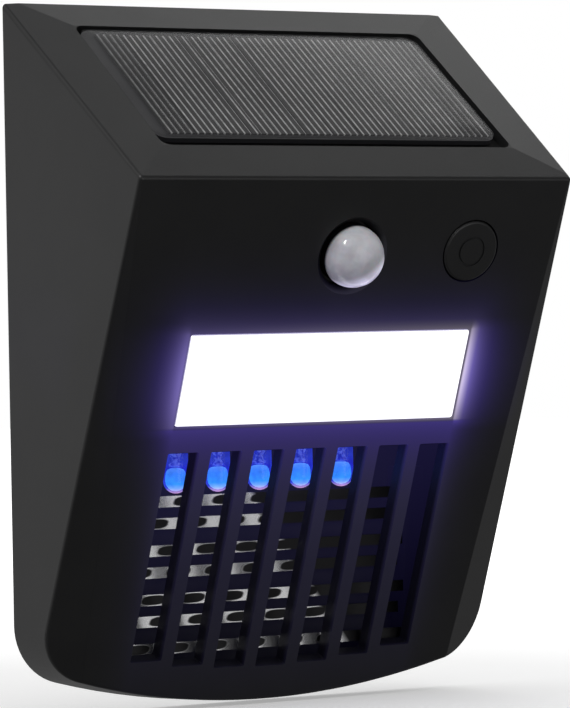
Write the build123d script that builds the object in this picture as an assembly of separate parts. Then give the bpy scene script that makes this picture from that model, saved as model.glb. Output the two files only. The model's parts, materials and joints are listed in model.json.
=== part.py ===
from build123d import *
import math
import os

# A wall-mounted electric bug zapper with a solar panel on its sloping top, a motion-sensing light
# in its front face and an electric grid behind a grille. Millimetres, +Z up. The origin is the
# centre of the flat back face. +Y points into the wall and the front of the object faces -Y.

# ---- Driving dimensions of the housing
HEIGHT = 138.8
BACK_WIDTH = 104.0
FRONT_WIDTH = 100.0
TOP_DEPTH = 47.2            # depth at the edge where the sloping top meets the front face
TOP_DROP = 35.6             # from the top of the back down to that edge
BOTTOM_DEPTH = 8.2          # depth of the bottom edge
CORNER_RADIUS = 12.0        # the two bottom corners, seen from the front
BOTTOM_RADIUS = 165.0       # the shallow arc of the bottom edge
BEVEL_DROP = 85.0           # the bevels are measured this far below the front edge
BEVEL_INNER_X = 43.9        # where a bevel meets the front face there
BEVEL_SIDE_DEPTH = 12.3     # depth of the side face there
BEVEL_START_INSET = 0.6     # a bevel starts this far inside the front corner
EDGE_RADIUS = 0.8
BAND_TILT = 3.0             # degrees by which the bands round the solar panel fall outwards
WALL = 2.0

# ---- Rear cover, its seal and its screws
COVER_THICKNESS = 2.5
COVER_GAP = 0.25
SEAL_HEIGHT = 1.0
LEDGE_WIDTH = 2.2
LEDGE_THICKNESS = 2.0
SCREW_X = 45.2
SCREW_TOP_Z = 50.0
SCREW_LOW_Z = -46.0
BOSS_RADIUS = 3.2
SCREW_RADIUS = 1.35
SCREW_HOLE_RADIUS = 1.4
SCREW_HEAD_RADIUS = 2.6
SCREW_HEAD_POCKET = 3.0
SCREW_LENGTH = 9.0
PAD_HEIGHT = 2.0            # thickening of the cover round each screw
KEYHOLE_Z = 48.5
KEYHOLE_ENTRY_RADIUS = 4.0
KEYHOLE_SLOT_RADIUS = 2.1
KEYHOLE_RISE = 5.5
KEYHOLE_DEPTH = 4.6

# ---- Solar panel, measured up the sloping top from the front edge
RECESS_WIDTH = 81.2
RECESS_SHIFT = 0.4             # the recess sits this far right of the housing's middle
RECESS_START = 9.8
RECESS_END = 50.6
RECESS_DEPTH = 2.2
RECESS_FLOOR = 1.6
RECESS_CORNER = 2.0
PANEL_GAP_FRONT = 3.4
PANEL_GAP_BACK = 0.8
PANEL_GAP_LEFT = 0.4
PANEL_GAP_RIGHT = 1.1
PANEL_CORNER = 3.0
PAD_THICKNESS = 0.4
BACKING_THICKNESS = 1.0
CELL_THICKNESS = 0.3
GLASS_THICKNESS = 0.6
CELL_COUNT = 12
CELL_SPACE = 0.3
CELL_MARGIN = 1.4
CELL_MARGIN_LEFT = 3.2
CELL_MARGIN_RIGHT = 0.8

# ---- Motion sensor, measured down the front face from its top edge
SENSOR_U = 0.9
SENSOR_V = -16.4
SENSOR_RIM_RADIUS = 7.9
SENSOR_RIM_DEPTH = 1.2
SENSOR_HOLE_RADIUS = 6.7
LENS_RADIUS = 6.1
LENS_CENTRE = 0.1              # the dome's centre, out from the face
LENS_SHELL = 0.7
LENS_FLANGE_RADIUS = 8.6
LENS_FLANGE_THICKNESS = 1.0
SENSOR_CAN_RADIUS = 4.6
SENSOR_CAN_HEIGHT = 4.4

# ---- Power button
BUTTON_U = 28.7
BUTTON_V = -15.6
BUTTON_RADIUS = 6.2
BUTTON_HOLE_RADIUS = 6.5
BUTTON_PROUD = 0.3
BUTTON_TRAVEL = 0.6
BUTTON_FLANGE_RADIUS = 7.6
BUTTON_STEM_RADIUS = 2.0
BUTTON_STEM_END = -4.6
SEAL_THICKNESS = 0.8
SWITCH_SIZE = 6.0
SWITCH_SPARE = 0.3          # the stem stops this far from the switch body when pressed
SWITCH_TOP = BUTTON_STEM_END - BUTTON_TRAVEL - SWITCH_SPARE
PLUNGER_RADIUS = 1.7
PLUNGER_CLEARANCE = 0.06
PLUNGER_END = -7.0

# ---- Light window and the board behind the front face
WINDOW_WIDTH = 65.4
WINDOW_HEIGHT = 19.1
WINDOW_V = -41.5
WINDOW_CORNER = 0.8
WINDOW_FLANGE = 2.0
WINDOW_FLANGE_THICKNESS = 1.2
WINDOW_GAP = 0.15
BOARD_FRONT = -9.0          # distance of the front board behind the face
BOARD_THICKNESS = 1.6
BOARD_WIDTH = 85.0
BOARD_TOP_V = -7.0
BOARD_LOW_V = -52.5
BOARD_SCREW_U = 39.5
BOARD_SCREW_VS = (-11.0, -48.5)
BOARD_BOSS_RADIUS = 2.4
SMALL_SCREW_RADIUS = 0.95
SMALL_SCREW_HOLE = 1.0
SMALL_HEAD_RADIUS = 2.0
LED_COLUMNS = 9
LED_ROWS = 2
LED_PITCH_U = 6.8
LED_PITCH_V = 8.0

# ---- Grille
SLOT_COUNT = 7
SLOT_PITCH = 9.8
SLOT_WIDTH = 7.1
SLOT_TOP_V = -56.2
SLOT_LOW_V = -102.7         # the lower end of the middle slot
GRILLE_DEPTH = 3.4
GRILLE_PAD_WIDTH = 74.0

# ---- Ultraviolet lamps
LAMP_COUNT = 5
LAMP_Y = -8.3
LAMP_RADIUS = 2.5
LAMP_TIP_Z = -27.4
LAMP_FLANGE_Z = -18.2
LAMP_FLANGE_RADIUS = 2.9
LAMP_FLANGE_HEIGHT = 1.0
PARTITION_TOP_Z = -15.4
PARTITION_THICKNESS = 1.8
HOLDER_LOW_Z = -19.4
HOLDER_HALF_WIDTH = 25.0
HOLDER_HALF_DEPTH = 3.9
HOLDER_LIP = 2.0
HOLDER_LIP_HEIGHT = 1.6
LAMP_BOARD_THICKNESS = 1.2
LEAD_SIZE = 0.5
LEAD_PITCH = 2.54

# ---- Electric grid
RUNG_HEIGHT = 2.2
RUNG_THICKNESS = 0.6
RUNG_HALF_LENGTH = 36.0
RUNG_PITCH = 9.6
FRONT_RUNG_TOP_Z = -29.0
BACK_RUNG_TOP_Z = -33.4
FRONT_RUNG_COUNT = 4
BACK_RUNG_COUNT = 3
FRONT_RUNG_Y = -7.0
BACK_RUNG_Y = -5.0
SPINE_WIDTH = 2.4
POST_INNER_X = 35.0
POST_OUTER_X = 40.0
POST_FRONT_Y = -8.1
POST_TOP_Z = -24.0
POST_LOW_Z = -59.6
POCKET_GAP = 0.08

# ---- Battery and main board, both on the rear cover
CELL_RADIUS = 9.1
CELL_LENGTH = 65.0
CELL_Y = -13.4
CELL_Z = 33.6
HOLDER_WALL = 1.6
HOLDER_END = 38.0
MAIN_BOARD_HALF_WIDTH = 40.0
MAIN_BOARD_LOW_Z = -7.0
MAIN_BOARD_TOP_Z = 22.0
MAIN_BOARD_BACK_Y = -4.5
MAIN_SCREW_X = 36.5
MAIN_SCREW_ZS = (-3.5, 19.0)
WIRE_RADIUS = 0.6

# ---- Values that follow from the ones above
TOP_Z = HEIGHT / 2
BOTTOM_Z = -HEIGHT / 2
EDGE_Z = TOP_Z - TOP_DROP
DRAFT = math.degrees(math.atan((BACK_WIDTH - FRONT_WIDTH) / 2 / TOP_DEPTH))
BIG = 400.0

# Each face's plane has its x to the right, its y up the face and its z straight out of the object.
FRONT = Plane(
    origin=(0, -TOP_DEPTH, EDGE_Z),
    x_dir=(1, 0, 0),
    z_dir=Vector(0, -(EDGE_Z - BOTTOM_Z), -(TOP_DEPTH - BOTTOM_DEPTH)).normalized(),
)
TOP = Plane(
    origin=(0, -TOP_DEPTH, EDGE_Z),
    x_dir=(1, 0, 0),
    z_dir=Vector(0, -TOP_DROP, TOP_DEPTH).normalized(),
)
SENSOR = FRONT * Pos(SENSOR_U, SENSOR_V, 0)
BUTTON = FRONT * Pos(BUTTON_U, BUTTON_V, 0)
WINDOW = FRONT * Pos(0, WINDOW_V, 0)


def block(x_range, y_range, z_range):
    """A box between two opposite corners."""
    sizes = [high - low for low, high in (x_range, y_range, z_range)]
    middle = [(high + low) / 2 for low, high in (x_range, y_range, z_range)]
    return Pos(*middle) * Box(*sizes)


def disc(radius, low, high):
    """A cylinder along Z between two heights."""
    return Pos(0, 0, (low + high) / 2) * Cylinder(radius, high - low)


def ring(outer, inner, low, high):
    """A flat ring along Z between two heights."""
    return disc(outer, low, high) - disc(inner, low - 1, high + 1)


def disc_y(radius, x, z, near, far):
    """A cylinder along Y at a place on the back, between two distances from the back face."""
    return Pos(x, (near + far) / 2, z) * Rot(90, 0, 0) * Cylinder(radius, abs(far - near))


def plate(width, height, corner, low, high):
    """A rounded rectangular plate between two heights."""
    outline = RectangleRounded(width, height, corner)
    return Pos(0, 0, low) * extrude(outline, amount=high - low)


def behind(plane, inset=0.0):
    """Everything on the inner side of a plane, moved inwards by the inset."""
    return plane * Pos(0, 0, -(BIG / 2 + inset)) * Box(BIG, BIG, BIG)


def bevel_plane(side):
    """The flat bevel between the front face and one side face, widening downwards."""
    front_slope = (TOP_DEPTH - BOTTOM_DEPTH) / (EDGE_Z - BOTTOM_Z)
    low_z = EDGE_Z - BEVEL_DROP
    start = Vector(side * (FRONT_WIDTH / 2 - BEVEL_START_INSET), -TOP_DEPTH, EDGE_Z)
    inner = Vector(side * BEVEL_INNER_X, -(TOP_DEPTH - front_slope * BEVEL_DROP), low_z)
    narrowing = BEVEL_SIDE_DEPTH * math.tan(math.radians(DRAFT))
    outer = Vector(side * (BACK_WIDTH / 2 - narrowing), -BEVEL_SIDE_DEPTH, low_z)
    outward = (inner - start).cross(outer - start)
    if outward.X * side < 0:
        outward = -outward
    return Plane(origin=start, z_dir=outward)


def band_planes():
    """The four bands of the sloping top round the solar recess, each falling a little outwards."""
    left = RECESS_SHIFT - RECESS_WIDTH / 2
    right = RECESS_SHIFT + RECESS_WIDTH / 2
    return [
        Plane((TOP * Pos(0, RECESS_START, 0) * Rot(BAND_TILT, 0, 0))),
        Plane((TOP * Pos(0, RECESS_END, 0) * Rot(-BAND_TILT, 0, 0))),
        Plane((TOP * Pos(right, 0, 0) * Rot(0, BAND_TILT, 0))),
        Plane((TOP * Pos(left, 0, 0) * Rot(0, -BAND_TILT, 0))),
    ]


def housing_form(inset):
    """The solid wedge of the housing, or the same wedge with every face moved inwards."""
    outline = Rectangle(BACK_WIDTH - 2 * inset, 2 * HEIGHT)
    outline &= Pos(0, BOTTOM_Z + BOTTOM_RADIUS) * Circle(BOTTOM_RADIUS - inset)
    low_corners = outline.vertices().sort_by(Axis.Y)[:2]
    outline = fillet(low_corners, CORNER_RADIUS - inset)
    form = extrude(Plane.XZ * outline, amount=TOP_DEPTH + 10, taper=DRAFT)
    for plane in (TOP, FRONT, bevel_plane(1), bevel_plane(-1)):
        form &= behind(plane, inset)
    return form


def outer_form():
    """The outside of the housing with its bands and softened edges."""
    form = housing_form(0.0)
    for plane in band_planes():
        form &= behind(plane)
    back_edges = form.faces().sort_by(Axis.Y)[-1].edges()
    back_places = [edge.center() for edge in back_edges]
    softened = []
    for edge in form.edges():
        if all((edge.center() - place).length > 0.01 for place in back_places):
            softened.append(edge)
    return fillet(softened, EDGE_RADIUS)


def cover_zone(inset, near, far):
    """A slice of the inner wedge between two distances from the back face."""
    slab = block((-BIG / 2, BIG / 2), (far, near), (-BIG / 2, BIG / 2))
    return housing_form(inset) & slab


def slot_places():
    """The middle of each grille slot across the face, with the lower end of the slot."""
    places = []
    for index in range(SLOT_COUNT):
        u = (index - (SLOT_COUNT - 1) / 2) * SLOT_PITCH
        arc_rise = BOTTOM_RADIUS - math.sqrt(BOTTOM_RADIUS ** 2 - u ** 2)
        places.append((u, SLOT_LOW_V + arc_rise))
    return places


def grille_slots():
    """The vertical openings of the grille, with lower ends that follow the bottom edge."""
    slots = Part()
    for u, low_v in slot_places():
        half = SLOT_WIDTH / 2
        box = block((u - half, u + half), (low_v, SLOT_TOP_V), (-GRILLE_DEPTH - 1, 1))
        slots += FRONT * fillet(box.edges().filter_by(Axis.Z), 0.4)
    return slots


def front_housing():
    """The front shell with its window, grille, bosses, partition and solar recess."""
    form = outer_form()
    shell = form - housing_form(WALL)
    recess_middle = (RECESS_START + RECESS_END) / 2
    recess_height = RECESS_END - RECESS_START
    depth = RECESS_DEPTH + RECESS_FLOOR
    recess_place = TOP * Pos(RECESS_SHIFT, recess_middle, 0)
    shell += form & (
        recess_place * Pos(0, 0, -depth / 2) * Box(RECESS_WIDTH + 2 * WALL, recess_height + 2 * WALL, depth)
    )
    grille_pad = block(
        (-GRILLE_PAD_WIDTH / 2, GRILLE_PAD_WIDTH / 2),
        (SLOT_LOW_V - 1.0, SLOT_TOP_V + 1.5),
        (-GRILLE_DEPTH, -WALL / 2),
    )
    shell += (FRONT * grille_pad) & form
    cover_stop = -COVER_THICKNESS - SEAL_HEIGHT
    shell -= cover_zone(WALL, 1.0, cover_stop)
    ledge = cover_zone(WALL / 2, cover_stop, cover_stop - LEDGE_THICKNESS)
    shell += ledge - housing_form(WALL + LEDGE_WIDTH)
    partition = block(
        (-BACK_WIDTH / 2, BACK_WIDTH / 2),
        (-TOP_DEPTH, cover_stop),
        (PARTITION_TOP_Z - PARTITION_THICKNESS, PARTITION_TOP_Z),
    )
    shell += partition & housing_form(WALL / 2)
    for x in (-SCREW_X, SCREW_X):
        for z in (SCREW_TOP_Z, SCREW_LOW_Z):
            start = -COVER_THICKNESS - PAD_HEIGHT
            shell -= disc_y(BOSS_RADIUS + COVER_GAP, x, z, 1, start)
            shell += disc_y(BOSS_RADIUS, x, z, start, -TOP_DEPTH) & form
            shell -= disc_y(SCREW_HOLE_RADIUS, x, z, start + 1, start - SCREW_LENGTH)
    for u in (-BOARD_SCREW_U, BOARD_SCREW_U):
        for v in BOARD_SCREW_VS:
            boss = disc(BOARD_BOSS_RADIUS, BOARD_FRONT, -WALL / 2)
            boss -= disc(SMALL_SCREW_HOLE, BOARD_FRONT - 1, -3.2)
            shell += FRONT * Pos(u, v, 0) * boss
    shell -= recess_place * plate(RECESS_WIDTH, recess_height, RECESS_CORNER, -RECESS_DEPTH, 5)
    shell -= recess_place * disc(2.5, -depth - 1, 0)
    shell -= WINDOW * plate(WINDOW_WIDTH, WINDOW_HEIGHT, WINDOW_CORNER, -WALL - 1, 1)
    shell -= SENSOR * disc(SENSOR_HOLE_RADIUS, -WALL - 1, 1)
    rim_taper = Pos(0, 0, -SENSOR_RIM_DEPTH / 2) * Cone(
        SENSOR_HOLE_RADIUS, SENSOR_RIM_RADIUS, SENSOR_RIM_DEPTH
    )
    shell -= SENSOR * rim_taper
    shell -= BUTTON * disc(BUTTON_HOLE_RADIUS, -WALL - 1, 1)
    shell -= grille_slots()
    shell -= block(
        (-HOLDER_HALF_WIDTH - 0.1, HOLDER_HALF_WIDTH + 0.1),
        (LAMP_Y - HOLDER_HALF_DEPTH - 0.1, LAMP_Y + HOLDER_HALF_DEPTH + 0.1),
        (PARTITION_TOP_Z - PARTITION_THICKNESS - 1, PARTITION_TOP_Z + 1),
    )
    for lead_side, lead_y, comb_top in GRID_LEADS:
        lead_x = grid_lead_points(lead_side, lead_y, comb_top)[-1][0]
        shell -= Pos(lead_x, lead_y, 0) * disc(
            WIRE_RADIUS + 0.3, PARTITION_TOP_Z - PARTITION_THICKNESS - 1, PARTITION_TOP_Z + 1
        )
    return shell


def keyhole(grow, depth):
    """The outline of the hanging keyhole, cut to a depth from the back face."""
    entry = disc_y(KEYHOLE_ENTRY_RADIUS + grow, 0, KEYHOLE_Z, 1, -depth)
    slot_end = disc_y(KEYHOLE_SLOT_RADIUS + grow, 0, KEYHOLE_Z + KEYHOLE_RISE, 1, -depth)
    half = KEYHOLE_SLOT_RADIUS + grow
    neck = block((-half, half), (-depth, 1), (KEYHOLE_Z, KEYHOLE_Z + KEYHOLE_RISE))
    return entry + slot_end + neck


def rear_cover():
    """The flat back with its screw pads, board posts and a closed pocket behind the keyhole."""
    cover = cover_zone(WALL + COVER_GAP, 0.0, -COVER_THICKNESS)
    pads = Part()
    for x in (-SCREW_X, SCREW_X):
        for z in (SCREW_TOP_Z, SCREW_LOW_Z):
            pads += disc_y(BOSS_RADIUS, x, z, -COVER_THICKNESS + 0.5, -COVER_THICKNESS - PAD_HEIGHT)
    cover += pads
    for x in (-SCREW_X, SCREW_X):
        for z in (SCREW_TOP_Z, SCREW_LOW_Z):
            cover -= disc_y(SCREW_HEAD_POCKET, x, z, 1, -2.1)
            cover -= disc_y(SCREW_HOLE_RADIUS + 0.3, x, z, 1, -6)
    pocket_half = KEYHOLE_ENTRY_RADIUS + 2.5
    pocket = block(
        (-pocket_half, pocket_half),
        (-KEYHOLE_DEPTH - 1.2, -COVER_THICKNESS / 2),
        (KEYHOLE_Z - pocket_half, KEYHOLE_Z + KEYHOLE_RISE + 3.2),
    )
    cover += pocket
    cover -= keyhole(0.0, COVER_THICKNESS)
    hollow = block(
        (-KEYHOLE_ENTRY_RADIUS, KEYHOLE_ENTRY_RADIUS),
        (-KEYHOLE_DEPTH, -COVER_THICKNESS),
        (KEYHOLE_Z - KEYHOLE_ENTRY_RADIUS, KEYHOLE_Z + KEYHOLE_RISE + KEYHOLE_SLOT_RADIUS),
    )
    cover -= hollow
    for x in (-MAIN_SCREW_X, MAIN_SCREW_X):
        for z in MAIN_SCREW_ZS:
            cover += disc_y(2.6, x, z, -COVER_THICKNESS / 2, MAIN_BOARD_BACK_Y)
            cover -= disc_y(SMALL_SCREW_HOLE, x, z, MAIN_BOARD_BACK_Y - 1, -1.2)
    return cover


def housing_seal():
    """The rubber ring squeezed between the housing's ledge and the rear cover."""
    near = -COVER_THICKNESS
    far = near - SEAL_HEIGHT
    seal = cover_zone(WALL + 0.15, near, far) - housing_form(WALL + LEDGE_WIDTH - 0.4)
    for x in (-SCREW_X, SCREW_X):
        for z in (SCREW_TOP_Z, SCREW_LOW_Z):
            seal -= disc_y(BOSS_RADIUS + 0.1, x, z, 1, -8)
    return max(seal.solids(), key=lambda piece: piece.volume)


def cover_screws():
    """The four screws that hold the rear cover."""
    screws = []
    for x in (-SCREW_X, SCREW_X):
        for z in (SCREW_TOP_Z, SCREW_LOW_Z):
            head = disc_y(SCREW_HEAD_RADIUS, x, z, -0.4, -2.1)
            shank = disc_y(SCREW_RADIUS, x, z, -2.0, -COVER_THICKNESS - PAD_HEIGHT - SCREW_LENGTH + 1.5)
            cross = block((x - 1.5, x + 1.5), (-1.4, 0), (z - 0.3, z + 0.3))
            cross += block((x - 0.3, x + 0.3), (-1.4, 0), (z - 1.5, z + 1.5))
            screws.append(head + shank - cross)
    return screws


# ---- Solar panel

def panel_place():
    """The middle of the panel's own footprint on the sloping top."""
    u = RECESS_SHIFT + (PANEL_GAP_LEFT - PANEL_GAP_RIGHT) / 2
    v = (RECESS_START + PANEL_GAP_FRONT + RECESS_END - PANEL_GAP_BACK) / 2
    return TOP * Pos(u, v, 0)


PANEL_WIDTH = RECESS_WIDTH - PANEL_GAP_LEFT - PANEL_GAP_RIGHT
PANEL_HEIGHT = RECESS_END - RECESS_START - PANEL_GAP_FRONT - PANEL_GAP_BACK
PAD_TOP = -RECESS_DEPTH + PAD_THICKNESS
BACKING_TOP = PAD_TOP + BACKING_THICKNESS
CELL_TOP = BACKING_TOP + CELL_THICKNESS


def solar_adhesive():
    """The foam tape that seals the panel to the floor of the recess."""
    tape = plate(PANEL_WIDTH - 2, PANEL_HEIGHT - 2, PANEL_CORNER, -RECESS_DEPTH, PAD_TOP)
    tape -= plate(PANEL_WIDTH - 14, PANEL_HEIGHT - 14, PANEL_CORNER, -RECESS_DEPTH - 1, PAD_TOP + 1)
    return panel_place() * tape


def solar_backing():
    """The stiff board that carries the cells."""
    board = plate(PANEL_WIDTH, PANEL_HEIGHT, PANEL_CORNER, PAD_TOP, BACKING_TOP)
    return panel_place() * board


def solar_cells():
    """The strips of silicon, side by side, each running from front to back."""
    span = PANEL_WIDTH - CELL_MARGIN_LEFT - CELL_MARGIN_RIGHT
    middle = (CELL_MARGIN_LEFT - CELL_MARGIN_RIGHT) / 2
    pitch = span / CELL_COUNT
    half = (pitch - CELL_SPACE) / 2
    depth = PANEL_HEIGHT / 2 - CELL_MARGIN
    strips = []
    for index in range(CELL_COUNT):
        u = middle + (index - (CELL_COUNT - 1) / 2) * pitch
        strip = block((u - half, u + half), (-depth, depth), (BACKING_TOP, CELL_TOP))
        strips.append(panel_place() * strip)
    return strips


def solar_glass():
    """The clear cover over the cells, with softened edges and corners."""
    glass = plate(PANEL_WIDTH, PANEL_HEIGHT, PANEL_CORNER, CELL_TOP, CELL_TOP + GLASS_THICKNESS)
    top_edges = glass.faces().sort_by(Axis.Z)[-1].edges()
    return panel_place() * fillet(top_edges, 0.3)


# ---- Motion sensor

def sensor_lens():
    """The domed lens with the barrel and flange that hold it from behind."""
    seal_low = -WALL - SEAL_THICKNESS
    flange_low = seal_low - LENS_FLANGE_THICKNESS
    inner = LENS_RADIUS - LENS_SHELL
    dome = Pos(0, 0, LENS_CENTRE) * Sphere(LENS_RADIUS)
    dome &= disc(LENS_RADIUS + 1, LENS_CENTRE, LENS_CENTRE + LENS_RADIUS + 1)
    solid = dome + disc(LENS_RADIUS, flange_low, LENS_CENTRE)
    solid += disc(LENS_FLANGE_RADIUS, flange_low, seal_low)
    hollow = (Pos(0, 0, LENS_CENTRE) * Sphere(inner)) + disc(inner, flange_low - 1, LENS_CENTRE)
    return SENSOR * (solid - hollow)


def lens_seal():
    """The rubber ring between the lens flange and the back of the front face."""
    low = -WALL - SEAL_THICKNESS
    return SENSOR * ring(LENS_FLANGE_RADIUS - 0.2, SENSOR_HOLE_RADIUS + 0.2, low, -WALL)


def motion_sensor():
    """The metal can of the infrared sensor, with its window and its rolled base."""
    top = BOARD_FRONT + SENSOR_CAN_HEIGHT
    can = disc(SENSOR_CAN_RADIUS - 0.4, BOARD_FRONT, top)
    can = fillet(can.edges().sort_by(Axis.Z)[-1], 0.4)
    can += disc(SENSOR_CAN_RADIUS, BOARD_FRONT, BOARD_FRONT + 0.6)
    can -= block((-2.0, 2.0), (-1.5, 1.5), (top - 0.3, top + 1))
    return SENSOR * can


# ---- Power button

def button_cap():
    """The round push button, dished on top, with a flange that stops it coming out."""
    seal_low = -WALL - SEAL_THICKNESS
    cap = disc(BUTTON_RADIUS, seal_low - 1.0, BUTTON_PROUD)
    cap = fillet(cap.edges().sort_by(Axis.Z)[-1], 0.5)
    cap += disc(BUTTON_FLANGE_RADIUS, seal_low - 1.0, seal_low - 0.12)
    cap += disc(BUTTON_STEM_RADIUS, BUTTON_STEM_END, seal_low)
    cap -= ring(3.1, 2.6, BUTTON_PROUD - 0.2, BUTTON_PROUD + 1)
    return BUTTON * cap


def button_seal():
    """The rubber ring that the button's flange closes on at rest."""
    low = -WALL - SEAL_THICKNESS
    return BUTTON * ring(BUTTON_FLANGE_RADIUS + 0.4, BUTTON_HOLE_RADIUS + 0.1, low, -WALL)


def switch_body():
    """The body of the push switch on the front board."""
    half = SWITCH_SIZE / 2
    body = block((-half, half), (-half, half), (BOARD_FRONT, SWITCH_TOP))
    body -= disc(PLUNGER_RADIUS + PLUNGER_CLEARANCE, PLUNGER_END - 1, SWITCH_TOP + 1)
    return BUTTON * body


def switch_plunger():
    """The plunger of the push switch, which the button's stem presses."""
    return BUTTON * disc(PLUNGER_RADIUS, PLUNGER_END, BUTTON_STEM_END)


# ---- Light window and front board

def light_window():
    """The frosted window of the light, with a flange behind the front face."""
    width = WINDOW_WIDTH - 2 * WINDOW_GAP
    height = WINDOW_HEIGHT - 2 * WINDOW_GAP
    lens = plate(width, height, WINDOW_CORNER, -WALL, -0.1)
    lens = fillet(lens.faces().sort_by(Axis.Z)[-1].edges(), 0.3)
    flange = plate(
        WINDOW_WIDTH + 2 * WINDOW_FLANGE,
        WINDOW_HEIGHT + 2 * WINDOW_FLANGE,
        WINDOW_CORNER + WINDOW_FLANGE,
        -WALL - WINDOW_FLANGE_THICKNESS,
        -WALL,
    )
    return WINDOW * (lens + flange)


def light_reflector():
    """The white box that joins the window to the board and spreads the light."""
    front = -WALL - WINDOW_FLANGE_THICKNESS
    width = WINDOW_WIDTH + 2 * WINDOW_FLANGE
    height = WINDOW_HEIGHT + 2 * WINDOW_FLANGE
    box = plate(width, height, WINDOW_CORNER + WINDOW_FLANGE, BOARD_FRONT, front)
    mouth = Plane(origin=(0, 0, BOARD_FRONT - 0.01)) * RectangleRounded(width - 7, height - 7, 2)
    wide = Plane(origin=(0, 0, front + 0.01)) * RectangleRounded(width - 3, height - 3, 2)
    return WINDOW * (box - loft([mouth, wide]))


def front_board():
    """The circuit board parallel to the front face."""
    board = block(
        (-BOARD_WIDTH / 2, BOARD_WIDTH / 2),
        (BOARD_LOW_V, BOARD_TOP_V),
        (BOARD_FRONT - BOARD_THICKNESS, BOARD_FRONT),
    )
    board = fillet(board.edges().filter_by(Axis.Z), 1.5)
    for u in (-BOARD_SCREW_U, BOARD_SCREW_U):
        for v in BOARD_SCREW_VS:
            board -= Pos(u, v, 0) * disc(SMALL_SCREW_HOLE + 0.2, BOARD_FRONT - 3, BOARD_FRONT + 1)
    return FRONT * board


def light_leds():
    """The white surface-mounted lamps in two rows behind the window."""
    lamps = []
    for column in range(LED_COLUMNS):
        for row in range(LED_ROWS):
            u = (column - (LED_COLUMNS - 1) / 2) * LED_PITCH_U
            v = (row - (LED_ROWS - 1) / 2) * LED_PITCH_V
            lamp = block((u - 1.75, u + 1.75), (v - 1.4, v + 1.4), (BOARD_FRONT, BOARD_FRONT + 0.8))
            lamps.append(WINDOW * lamp)
    return lamps


def front_board_screws():
    """The four small screws that hold the front board to its bosses."""
    screws = []
    board_back = BOARD_FRONT - BOARD_THICKNESS
    for u in (-BOARD_SCREW_U, BOARD_SCREW_U):
        for v in BOARD_SCREW_VS:
            screw = disc(SMALL_HEAD_RADIUS, board_back - 1.3, board_back)
            screw += disc(SMALL_SCREW_RADIUS, board_back - 0.5, BOARD_FRONT + 4.5)
            screw -= block((-1.3, 1.3), (-0.25, 0.25), (board_back - 2, board_back - 0.8))
            screws.append(FRONT * Pos(u, v, 0) * screw)
    return screws


# ---- Ultraviolet lamps

def lamp_places():
    """The middle of each ultraviolet lamp across the object."""
    return [(index - (LAMP_COUNT - 1) / 2) * SLOT_PITCH for index in range(LAMP_COUNT)]


def uv_lamp(x):
    """One bullet-shaped lamp pointing down, with its flange and its two leads."""
    body = disc(LAMP_RADIUS, LAMP_TIP_Z + LAMP_RADIUS, LAMP_FLANGE_Z + 0.5)
    body += Pos(0, 0, LAMP_TIP_Z + LAMP_RADIUS) * Sphere(LAMP_RADIUS)
    flange_top = LAMP_FLANGE_Z + LAMP_FLANGE_HEIGHT
    body += disc(LAMP_FLANGE_RADIUS, LAMP_FLANGE_Z, flange_top)
    lead_top = PARTITION_TOP_Z + HOLDER_LIP_HEIGHT + LAMP_BOARD_THICKNESS + 0.8
    half = LEAD_SIZE / 2
    for lead_x in (-LEAD_PITCH / 2, LEAD_PITCH / 2):
        body += block((lead_x - half, lead_x + half), (-half, half), (flange_top - 0.5, lead_top))
    return Pos(x, LAMP_Y, 0) * body


def uv_lamp_holder():
    """The black bar that plugs into the partition and holds the five lamps."""
    lip_top = PARTITION_TOP_Z + HOLDER_LIP_HEIGHT
    plug = block(
        (-HOLDER_HALF_WIDTH, HOLDER_HALF_WIDTH),
        (LAMP_Y - HOLDER_HALF_DEPTH, LAMP_Y + HOLDER_HALF_DEPTH),
        (HOLDER_LOW_Z, PARTITION_TOP_Z),
    )
    lip = block(
        (-HOLDER_HALF_WIDTH - HOLDER_LIP, HOLDER_HALF_WIDTH + HOLDER_LIP),
        (LAMP_Y - HOLDER_HALF_DEPTH - HOLDER_LIP, LAMP_Y + HOLDER_HALF_DEPTH + 0.5),
        (PARTITION_TOP_Z, lip_top),
    )
    holder = fillet(plug.edges().filter_by(Axis.Z), 1.0) + lip
    for x in lamp_places():
        holder -= Pos(x, LAMP_Y, 0) * disc(LAMP_RADIUS + 0.05, HOLDER_LOW_Z - 1, lip_top + 1)
        holder -= Pos(x, LAMP_Y, 0) * disc(LAMP_FLANGE_RADIUS + 0.1, LAMP_FLANGE_Z, lip_top + 1)
    return holder


def uv_lamp_board():
    """The narrow circuit board on top of the lamp holder."""
    low = PARTITION_TOP_Z + HOLDER_LIP_HEIGHT
    board = block(
        (-HOLDER_HALF_WIDTH - 1, HOLDER_HALF_WIDTH + 1),
        (LAMP_Y - HOLDER_HALF_DEPTH - 1, LAMP_Y + HOLDER_HALF_DEPTH),
        (low, low + LAMP_BOARD_THICKNESS),
    )
    for x in lamp_places():
        for lead_x in (-LEAD_PITCH / 2, LEAD_PITCH / 2):
            board -= Pos(x + lead_x, LAMP_Y, 0) * disc(0.5, low - 1, low + 3)
    return board


# ---- Electric grid

def rung_heights(top_z, count):
    """The middle of each rung of one comb, from the top down."""
    return [top_z - index * RUNG_PITCH for index in range(count)]


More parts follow.
